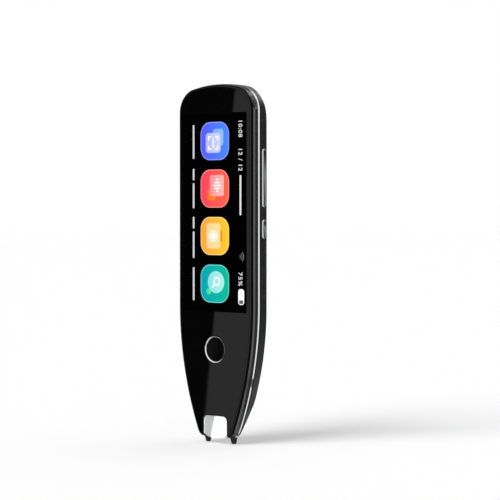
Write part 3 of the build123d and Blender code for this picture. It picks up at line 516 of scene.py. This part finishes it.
# Bars stand where the screen would carry words; digits show the time and the charge
inkGrey = makeGlow("inkGrey", (205, 205, 210), (225, 225, 230), glow=0.75, ends=(-13, 15))
inkDim = makeGlow("inkDim", (95, 95, 98), (110, 110, 114), glow=0.7, ends=(12, 15))
statusX = 13.9
barLook = {"thick": 0.95, "labelX": -11.7, "status": [(36.0, 19.8)],
           "labels": [(56.8, 42.9), (38.9, 34.1), (33.0, 22.6), (19.2, 14.3), (13.2, 2.2), (-1.5, -15.2)]}
shape = bmesh.new()
for x, ends in [(barLook["labelX"], barLook["labels"]), (statusX, barLook["status"])]:
    for top, bottom in ends:
        addBar(shape, (x, (top + bottom) / 2), (barLook["thick"], top - bottom), level=2, segments=6)
placeOnScreen("screenBars", shape, inkGrey)

# Digits read down the screen, their feet towards -X: a text's mesh, laid on the glass between top and bottom
digitLook = {"height": 2.0, "capShare": 0.7, "extrude": 0.006, "offset": 0.035, "space": 1.15, "level": 1}
digits = {"clockDigits": ("10:08", 58.3, 51.2), "dateDigits": ("12 / 12", 47.0, 37.6),
          "chargeDigits": ("75%", -3.0, -8.6)}
for name, (words, top, bottom) in digits.items():
    curve = bpy.data.curves.new(name, "FONT")
    curve.body = words
    curve.size = digitLook["height"] / digitLook["capShare"]
    curve.extrude = digitLook["extrude"]
    curve.offset = digitLook["offset"]
    curve.space_character = digitLook["space"]
    text = bpy.data.objects.new(name, curve)
    bpy.context.scene.collection.objects.link(text)
    bpy.context.view_layer.update()
    flat = bpy.data.meshes.new_from_object(text.evaluated_get(bpy.context.evaluated_depsgraph_get()))
    bpy.data.objects.remove(text)
    shape = bmesh.new()
    shape.from_mesh(flat)
    bpy.data.meshes.remove(flat)
    spread = (top - bottom) / max(vert.co.x for vert in shape.verts)
    foot, front = statusX - digitLook["height"] / 2, levels[digitLook["level"]]
    lay = Matrix(((0, 1, 0, foot), (0, 0, -1, front), (-spread, 0, 0, top), (0, 0, 0, 1)))
    bmesh.ops.transform(shape, matrix=lay, verts=shape.verts)
    placeOnScreen(name, shape, inkGrey)

battery = {"centre": (14.3, -13.05), "size": (3.1, 6.3), "corner": 1.1, "inset": 0.35, "empty": (2.2, 1.5),
           "emptyCorner": 0.4}
placePatch("batterySign", battery["centre"], battery["size"], battery["corner"], signWhite, level=2,
           segments=8)
low = battery["centre"][1] - battery["size"][1] / 2
placePatch("batteryEmpty", (battery["centre"][0], low + battery["inset"] + battery["empty"][1] / 2),
           battery["empty"], battery["emptyCorner"], inkDim, level=3, segments=5)

waves = {"foot": (12.9, 3.2), "radii": (0.9, 1.8, 2.7), "line": 0.42, "spread": 84.0, "steps": 10, "level": 1}
half = math.radians(waves["spread"] / 2)
top = levels[waves["level"]]
footX, footZ = waves["foot"]
shape = bmesh.new()
for radius in waves["radii"]:
    ends = [shape.verts.new((footX + (radius + side) * math.cos(half), top,
                             footZ + (radius + side) * math.sin(half)))
            for side in (-waves["line"] / 2, waves["line"] / 2)]
    bar = shape.edges.new(ends)
    bmesh.ops.spin(shape, geom=ends + [bar], cent=(footX, 0.0, footZ), axis=(0.0, 1.0, 0.0),
                   angle=2 * half, steps=waves["steps"], use_merge=False)
pullBack(shape, shape.faces[:], glass - top)
placeOnScreen("signalSign", shape, inkDim)
print("stage: screen")

# Cover glass: the front face gets a narrow ground border, duller than the glass
groundEdge = makeFinish("groundEdge", {"colour": (0.0012, 0.0012, 0.0013), "rough": 0.45, "specular": 0.08,
                                       "grain": 0.2})
glassLook = {"border": 0.36, "facing": -0.99, "front": -6.45}
shape = mergedCopy("cover_glass", False)
face = [part for part in shape.faces
        if part.normal.y < glassLook["facing"] and part.calc_center_median().y < glassLook["front"]]
border = bmesh.ops.inset_region(shape, faces=face, thickness=glassLook["border"], use_even_offset=True,
                                use_boundary=True)["faces"]
for part in border:
    part.material_index = 1
placePiece("frontGlass", shape, [made["blackGlass"], groundEdge], stands=["cover_glass"])

# Bezel: the outer wall swells a little at mid depth, so its front half catches more light
bezelLook = {"matte": -5.35, "middle": -4.55, "rear": -2.8, "near": 0.001,
             "swells": {"matte": 0.048, "middle": 0.32, "rear": 0.24},
             "tray": 18.6, "top": 70.0, "bottom": -18.0, "fork": (8.5, -50.0), "spine": (-50.0, 60.0),
             "level": 0.5, "outward": 0.4}
shape = mergedCopy("front_frame", False)
for cut in ("matte", "middle"):
    cutAcross(shape, (0.0, bezelLook[cut], 0.0), (0.0, 1.0, 0.0))
shape.normal_update()
for vert in shape.verts:
    x, y, z = vert.co
    swell = sum(size for line, size in bezelLook["swells"].items()
                if abs(y - bezelLook[line]) < bezelLook["near"])
    flat = Vector((vert.normal.x, 0.0, vert.normal.z))
    reach = Vector((x, 0.0, z - max(bezelLook["spine"][0], min(bezelLook["spine"][1], z))))
    outer = abs(x) > bezelLook["tray"] or z > bezelLook["top"] or z < bezelLook["bottom"]
    inFork = abs(x) < bezelLook["fork"][0] and z < bezelLook["fork"][1]
    turned = flat.length > bezelLook["level"] and flat.dot(reach) > bezelLook["outward"]
    if swell and outer and turned and not inFork:
        vert.co += flat.normalized() * swell
for part in shape.faces:
    part.material_index = 1 if part.calc_center_median().y < bezelLook["matte"] else 0
placePiece("frontBezel", shape, [made["bezelBlack"], groundEdge], stands=["front_frame"],
           soft=12.0)

# Chrome trim: its slope reaches the back of the ring, so the bright line is as wide as the ring
trimLook = {"slopeEnd": -2.38, "newEnd": -2.14, "near": 0.002}
shape = mergedCopy("chrome_trim", False)
for vert in shape.verts:
    if abs(vert.co.y - trimLook["slopeEnd"]) < trimLook["near"]:
        vert.co.y = trimLook["newEnd"]
placePiece("chromeTrim", shape, made["brightChrome"], stands=["chrome_trim"])

# Home key: a turned cap with a shallow dish, inside a chrome line that slopes in to it
homeLook = {
    "centre": (0.0, -34.9),
    "ring": [(4.94, -5.75), (4.94, -6.28), (4.97, -6.33), (5.33, -6.54), (5.38, -6.57), (5.42, -6.555),
             (5.43, -6.50), (5.43, -5.75), (4.94, -5.75)],
    "cap": [(0.0, -6.20), (1.2, -6.212), (2.4, -6.25), (3.4, -6.305), (4.2, -6.362), (4.55, -6.38),
            (4.72, -6.345), (4.80, -6.25), (4.80, -4.98), (5.60, -4.98), (5.60, -4.48), (1.5, -4.48),
            (1.5, -4.45), (0.0, -4.45)],
}
shape = bmesh.new()
addTurned(shape, homeLook["ring"], homeLook["centre"], steps=96)
placePiece("homeRing", shape, made["brightChrome"], stands=["home_button_ring"],
           soft=50.0)
shape = bmesh.new()
addTurned(shape, homeLook["cap"], homeLook["centre"])
placePiece("homeCap", shape, made["buttonBlack"], body="home_key", stands=["home_button"])

# Side keys: painted like the shell, with a polished edge only on the slopes not turned to the back, a painted
# highlight on the side where the light falls; the hidden flange thins at its ends, for the rock
polishedEdge = makeFinish("polishedEdge", {"colour": (0.80, 0.805, 0.81), "metal": 1.0, "rough": 0.12,
                                           "roughDrift": 0.03, "grain": 0.04})
keys = {"volume_rocker": ("volumeKey", "volume_key"), "power_button": ("powerKey", "power_key")}
keyLook = {"edge": (0.3, 0.95), "front": 0.3}
flangeLook = {"inner": 18.2, "outer": 19.1, "reach": 10.5, "thin": 0.2}
for node, (name, body) in keys.items():
    shape = mergedCopy(node, False)
    middle = sum(vert.co.z for vert in shape.verts) / len(shape.verts)
    for vert in shape.verts:
        onFlange = flangeLook["inner"] < vert.co.x < flangeLook["outer"]
        if onFlange and abs(vert.co.z - middle) > flangeLook["reach"]:
            vert.co.x -= flangeLook["thin"]
    shape.normal_update()
    # Painted highlight: only chamfer faces not turned towards the back take the polished finish; the other
    # slopes keep the shell's paint
    for face in shape.faces:
        onEdge = keyLook["edge"][0] < face.normal.x < keyLook["edge"][1]
        face.material_index = 1 if onEdge and face.normal.y < keyLook["front"] else 0
    placePiece(name, shape, [made["gunmetalPaint"], polishedEdge], body=body, stands=[node],
               soft=20.0)

# Tip: clear milky pane, with an arched lower edge, and the sprung arch with its two feet
paneLook = {"strips": 14, "half": 6.33, "low": -71.1, "rise": 1.7, "limit": -69.0, "soft": 0.16}
shape = mergedCopy("scan_window")
for index in range(1, paneLook["strips"]):
    across = paneLook["half"] * (2.0 * index / paneLook["strips"] - 1.0)
    cutAcross(shape, (across, 0.0, 0.0), (1.0, 0.0, 0.0))
for vert in shape.verts:
    if vert.co.z < paneLook["limit"]:
        vert.co.z = paneLook["low"] + paneLook["rise"] * abs(vert.co.x / paneLook["half"]) ** 3
softenEdges(shape, paneLook["soft"])
placePiece("tipPane", shape, made["milkyPanePaintedGlow"], stands=["scan_window"])
archLook = {"soft": 0.42, "steps": 4, "angle": 25.0, "below": -66.0}
shape = mergedCopy("scan_trigger")
softenEdges(shape, archLook["soft"], archLook["steps"], archLook["angle"],
            lambda place: place.z < archLook["below"])
placePiece("tipArch", shape, made["rubberBlack"], body="tip", stands=["scan_trigger"])

# Springs of the tip, on a mesh of their own
low, high = [corner.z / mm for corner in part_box("trigger_springs")]
shape = mergedCopy("trigger_springs", False)
pushSprings = placePiece("pushSprings", shape, made["springSteel"], stands=["trigger_springs"])
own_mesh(pushSprings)

# Charging socket: a rolled steel mouth in the side wall, with gold contacts on its tongue
socketLook = {"centre": (0.8, 41.0), "size": (3.26, 8.94), "wall": 0.3, "mouth": -19.8, "end": -12.5,
              "roll": 0.34}
shape = bmesh.new()
addRing(shape, (0.0, 0.0), socketLook["size"], socketLook["size"][0] / fullRound, socketLook["wall"],
        -socketLook["end"], -socketLook["mouth"], segments=14, dip=socketLook["roll"])
# The rim is drawn facing +Y, then turned so that it faces -X
turn = Matrix.Rotation(math.radians(90.0), 4, "Z")
bmesh.ops.transform(shape, matrix=Matrix.Translation((0.0, *socketLook["centre"])) @ turn, verts=shape.verts)
placePiece("socketShell", shape, made["socketSteel"], stands=["usb_c_shell"])

contacts = {"count": 8, "pitch": 0.72, "size": (3.2, 0.34), "corner": 0.05, "near": -18.7,
            "faces": [(0.45, 0.42), (1.15, 1.18)]}  # where each row starts and ends in depth
shape = bmesh.new()
for index in range(contacts["count"]):
    z = socketLook["centre"][1] + (index - (contacts["count"] - 1) / 2) * contacts["pitch"]
    for back, front in contacts["faces"]:
        addPlate(shape, (contacts["near"] + contacts["size"][0] / 2, z), contacts["size"], contacts["corner"],
                 back, front, segments=2)
placePiece("socketContacts", shape, made["goldPlate"])

# Camera island: chrome rim that slopes outward, with a pale satin wall that makes a painted highlight along
# the rim, stepped lens barrel and domed glasses
islandLook = {"centre": (0.0, 62.0), "size": (9.3, 15.1), "wall": 0.75, "foot": 2.75, "top": 6.75,
              "rise": 0.45, "ease": 0.07, "upright": 0.3}
shape = bmesh.new()
addRing(shape, islandLook["centre"], islandLook["size"], islandLook["size"][0] / fullRound,
        islandLook["wall"], islandLook["foot"], islandLook["top"] - islandLook["rise"], segments=20,
        dip=-islandLook["rise"], ease=islandLook["ease"])
shape.normal_update()
for face in shape.faces:
    if abs(face.normal.y) < islandLook["upright"]:
        face.material_index = 1
# The upright wall is pale and matte, so it shows as one bright line with the rim: a painted highlight
rimWallPaintedHighlight = makeFinish("rimWallPaintedHighlight", {"colour": (0.50, 0.505, 0.51), "rough": 0.42, "roughDrift": 0.05,
                                 "grain": 0.1, "specular": 0.4})
placePiece("cameraRim", shape, [made["brightChrome"], rimWallPaintedHighlight], stands=["camera_rim"],
           soft=20.0)

# The blue rings are a painted reflection of the lens coating, and glow a little though the lens is no lamp
lensLook = {
    "centre": (0.0, 65.4), "radius": 1.3, "rough": 0.04, "coat": 1.0, "glow": 0.35,
    "barrel": [(0.0, 5.8), (2.1, 5.8), (2.1, 6.5), (2.02, 6.58), (1.86, 6.60), (1.72, 6.55), (1.64, 6.40),
               (1.50, 6.36), (1.42, 6.22), (1.30, 6.18), (1.24, 6.02), (0.0, 6.02)],
    "dome": [(0.0, 6.36), (0.35, 6.35), (0.7, 6.31), (1.0, 6.25), (1.22, 6.17), (1.28, 6.12), (1.28, 6.03),
             (0.0, 6.03)],
    "colours": [(0.0, (0.004, 0.010, 0.03)), (0.35, (0.010, 0.03, 0.09)), (0.6, (0.03, 0.075, 0.17)),
                (0.82, (0.02, 0.04, 0.10)), (1.0, (0.002, 0.002, 0.004))],
}
shape = bmesh.new()
addTurned(shape, lensLook["barrel"], lensLook["centre"], steps=64)
placePiece("lensBarrel", shape, made["lensBlack"], stands=["camera_lens"], soft=25.0)
shape = bmesh.new()
addTurned(shape, lensLook["dome"], lensLook["centre"], steps=48)
lensBluePaintedSheen = makeRings("lensBluePaintedSheen", lensLook["centre"], lensLook["colours"], lensLook)
placePiece("lensDome", shape, lensBluePaintedSheen)

# The cream dome glows a little though the flash is not lit: painted light
flashLook = {
    "centre": (0.0, 58.7), "radius": 1.95, "rough": 0.25, "coat": 0.6, "glow": 0.25,
    "ribs": 0.13, "ribStrength": 0.8,
    "dome": [(0.0, 5.4), (1.95, 5.4), (1.95, 6.42), (1.9, 6.5), (1.75, 6.55), (1.3, 6.60), (0.7, 6.63),
             (0.0, 6.64)],
    "colours": [(0.0, screenTone(255, 214, 150)), (0.25, screenTone(255, 236, 190)),
                (0.6, screenTone(255, 244, 214)), (0.85, screenTone(250, 224, 178)),
                (1.0, screenTone(206, 170, 120))],
}
shape = bmesh.new()
addTurned(shape, flashLook["dome"], flashLook["centre"], steps=64)
flashCreamPaintedGlow = makeRings("flashCreamPaintedGlow", flashLook["centre"], flashLook["colours"], flashLook)
placePiece("flashDome", shape, flashCreamPaintedGlow, stands=["flash_lens"])

# Speaker slots: a polished bevelled edge round each opening in the shell
slotLook = {"width": 1.15, "lengths": (4.4, 7.3, 4.4), "pitch": 2.4, "z": 50.5, "edge": 0.34, "overlap": 0.16,
            "barrel": 50.0, "crown": 6.5, "depth": 0.6, "proud": 0.015}
shape = bmesh.new()
for index, length in enumerate(slotLook["lengths"]):
    x = (index - 1) * slotLook["pitch"]
    surface = slotLook["crown"] - (slotLook["barrel"] - math.sqrt(slotLook["barrel"] ** 2 - x * x))
    outer = (slotLook["width"] + slotLook["overlap"], length + slotLook["overlap"])
    addRing(shape, (x, slotLook["z"]), outer, outer[0] / fullRound, slotLook["edge"],
            surface - slotLook["depth"], surface + slotLook["proud"], segments=8, dip=slotLook["edge"])
placePiece("slotEdges", shape, polishedEdge, soft=60.0)
print("stage: keys, tip, socket, island and speaker")

# Camera of the photograph: level with the upper half of the pen, round to the key side
view = {"eye": (497.6, -557.1, 22.35), "azimuth": 41.0, "pitch": 1.288, "lens": 131.3, "sensor": 36.0,
        "clip": (0.05, 100.0)}
cameraData = bpy.data.cameras.new("photoCamera")
cameraData.lens = view["lens"]
cameraData.sensor_width = view["sensor"]
cameraData.clip_start, cameraData.clip_end = view["clip"]
camera = bpy.data.objects.new("photoCamera", cameraData)
camera.location = [c * mm for c in view["eye"]]
camera.rotation_euler = (math.radians(90.0 - view["pitch"]), 0.0, math.radians(view["azimuth"]))
bpy.context.scene.collection.objects.link(camera)
bpy.context.scene.camera = camera


def seenStraight(tree):
    # 1 where the eye looks on its own or through the clear pane, 0 for gloss and soft light
    path = addNode(tree, "ShaderNodeLightPath").outputs
    return mathOf(tree, "MAXIMUM", path["Is Camera Ray"], path["Is Transmission Ray"])


# Pale floor: it takes the pen's shadow, and looks as pale as the backdrop where nothing shades it
floorLook = {"radius": 8.0, "segments": 96, "drop": 0.02, "colour": 0.80, "rough": 0.9, "specular": 0.1,
             "lift": 0.165}
floorMesh = bpy.data.meshes.new("floor")
shape = bmesh.new()
bmesh.ops.create_circle(shape, cap_ends=True, segments=floorLook["segments"], radius=floorLook["radius"])
bmesh.ops.translate(shape, verts=shape.verts, vec=(0.0, 0.0, cadLow[2] - floorLook["drop"] * mm))
shape.to_mesh(floorMesh)
shape.free()
floor = bpy.data.objects.new("floor", floorMesh)
bpy.context.scene.collection.objects.link(floor)
floor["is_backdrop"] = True
floorPaper, tree, paper = startMaterial("floorPaper")
setInputs(tree, paper, {
    "Base Color": (floorLook["colour"],) * 3 + (1.0,), "Roughness": floorLook["rough"],
    "Specular IOR Level": floorLook["specular"], "Emission Color": white,
    "Emission Strength": mathOf(tree, "MULTIPLY", seenStraight(tree), floorLook["lift"])})
floorMesh.materials.append(floorPaper)
floor.visible_glossy = False  # gloss sees the studio's lower half instead

# Studio: white to the eye, and soft panels round the pen for gloss
studioLook = {
    "fill": 0.34,
    # Brightness against the angle round the pen, from its glass face (0) towards its key side (90)
    "panels": [(-180.0, 0.76), (-150.0, 0.95), (-125.0, 0.95), (-62.0, 0.90), (-54.0, 0.27), (-37.0, 0.28),
               (-29.0, 1.0), (-18.0, 1.0), (-11.0, 0.6), (0.0, 0.8), (30.0, 0.95), (60.0, 0.97),
               (85.0, 0.97), (107.0, 0.9), (113.0, 0.03), (146.0, 0.03), (152.0, 0.4), (158.0, 1.05),
               (164.0, 1.05), (171.0, 0.60), (179.9, 0.80)],
    # The same below the pen's feet, where gloss sees the floor, and overhead
    "ground": [(-180.0, 0.5), (-100.0, 0.3), (-60.0, 0.15), (-25.0, 0.7), (30.0, 0.7), (50.0, 1.0),
               (100.0, 1.0), (111.0, 0.15), (116.0, 0.05), (143.0, 0.05), (152.0, 0.5), (165.0, 0.65),
               (179.9, 0.5)],
    "roof": [(-180.0, 0.35), (-150.0, 0.3), (-108.0, 0.15), (-82.0, 0.22), (-64.0, 0.95), (133.0, 0.9),
             (144.0, 0.5), (165.0, 0.38), (179.9, 0.35)],
    # The share that is left of the walls' upper part behind the pen's far side
    "hood": [(-180.0, 1.0), (-162.0, 0.9), (-146.0, 0.3), (-114.0, 0.1), (-101.0, 1.0), (179.9, 1.0)],
    # Heights, as the upward part of a direction, over which one of these gives way to the next
    "hoodRise": (0.12, 0.16), "groundFall": (-0.12, -0.32), "roofRise": (0.45, 0.70),
    # In front, left of one sharp edge, the walls are black up to a height: the glass shows that
    "edge": (0.7422, -0.6639, -0.0919), "edgeBlur": (-0.0006, 0.0006), "edgeRise": (0.14, 0.20), "back": 0.02,
    # One dark gap low down, and one small bright lamp above the pen's back
    "gap": -0.458, "gapHalf": 0.018, "gapFade": 1.4, "gapLevel": 0.1,
    "glint": (0.071, 0.62, 0.781), "glintBlur": (0.980, 0.992), "glintPower": 3.0,
}
world = bpy.data.worlds.new("studio")
bpy.context.scene.world = world
world.use_nodes = True
world.cycles.sampling_method = "NONE"
tree = world.node_tree
around = addNode(tree, "ShaderNodeTexCoord").outputs["Generated"]
axes = addNode(tree, "ShaderNodeSeparateXYZ", {"Vector": around}).outputs
turn = mathOf(tree, "ARCTAN2", axes["X"], mathOf(tree, "MULTIPLY", axes["Y"], -1.0))
share = rangeOf(tree, turn, (-math.pi, math.pi))
bands = {}
for part in ("panels", "ground", "roof", "hood"):
    stops = [((angle + 180.0) / 360.0, (level,) * 3) for angle, level in studioLook[part]]
    bands[part] = rampOf(tree, share, stops)

sharp = rangeOf(tree, dotOf(tree, around, studioLook["edge"]), studioLook["edgeBlur"])
behind = mathOf(tree, "GREATER_THAN", axes["Y"], studioLook["back"])
above = mathOf(tree, "MAXIMUM", behind, rangeOf(tree, axes["Z"], studioLook["edgeRise"]))
walls = scaleOf(tree, bands["panels"], mathOf(tree, "MAXIMUM", sharp, above))
veil = mixOf(tree, rangeOf(tree, axes["Z"], studioLook["hoodRise"]), white, bands["hood"])
room = productOf(tree, walls, veil)
room = mixOf(tree, rangeOf(tree, axes["Z"], studioLook["groundFall"]), room, bands["ground"])
room = mixOf(tree, rangeOf(tree, axes["Z"], studioLook["roofRise"]), room, bands["roof"])

away = mathOf(tree, "ABSOLUTE", mathOf(tree, "SUBTRACT", axes["Z"], studioLook["gap"]))
gapSpan = (studioLook["gapHalf"], studioLook["gapHalf"] * studioLook["gapFade"])
clear = rangeOf(tree, away, gapSpan, (studioLook["gapLevel"], 1.0))
shine = rangeOf(tree, dotOf(tree, around, studioLook["glint"]), studioLook["glintBlur"],
                (0.0, studioLook["glintPower"]))
gloss = scaleOf(tree, room, mathOf(tree, "ADD", clear, shine))
isGloss = addNode(tree, "ShaderNodeLightPath").outputs["Is Glossy Ray"]
lit = mixOf(tree, isGloss, (studioLook["fill"],) * 3 + (1.0,), gloss)
setInputs(tree, tree.nodes["Background"], {"Color": mixOf(tree, seenStraight(tree), lit, white)})

# Broad soft suns: even light all over the floor, where a small lamp would fall off
suns = {
    "keySun": {"from": (-0.16, -0.80, 0.72), "strength": 2.35, "spread": 38.0},
    "topSun": {"from": (0.0, 0.10, 1.0), "strength": 0.55, "spread": 60.0},
    "backSun": {"from": (0.10, 0.90, 0.70), "strength": 0.20, "spread": 70.0},
}
for name, look in suns.items():
    data = bpy.data.lights.new(name, "SUN")
    data.energy = look["strength"]
    data.angle = math.radians(look["spread"])
    lamp = bpy.data.objects.new(name, data)
    lamp.rotation_euler = Vector(look["from"]).to_track_quat("Z", "Y").to_euler()
    lamp.visible_glossy = False
    bpy.context.scene.collection.objects.link(lamp)
bpy.context.scene.view_settings.view_transform = "Standard"
print("stage: camera, floor and studio")

low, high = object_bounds()
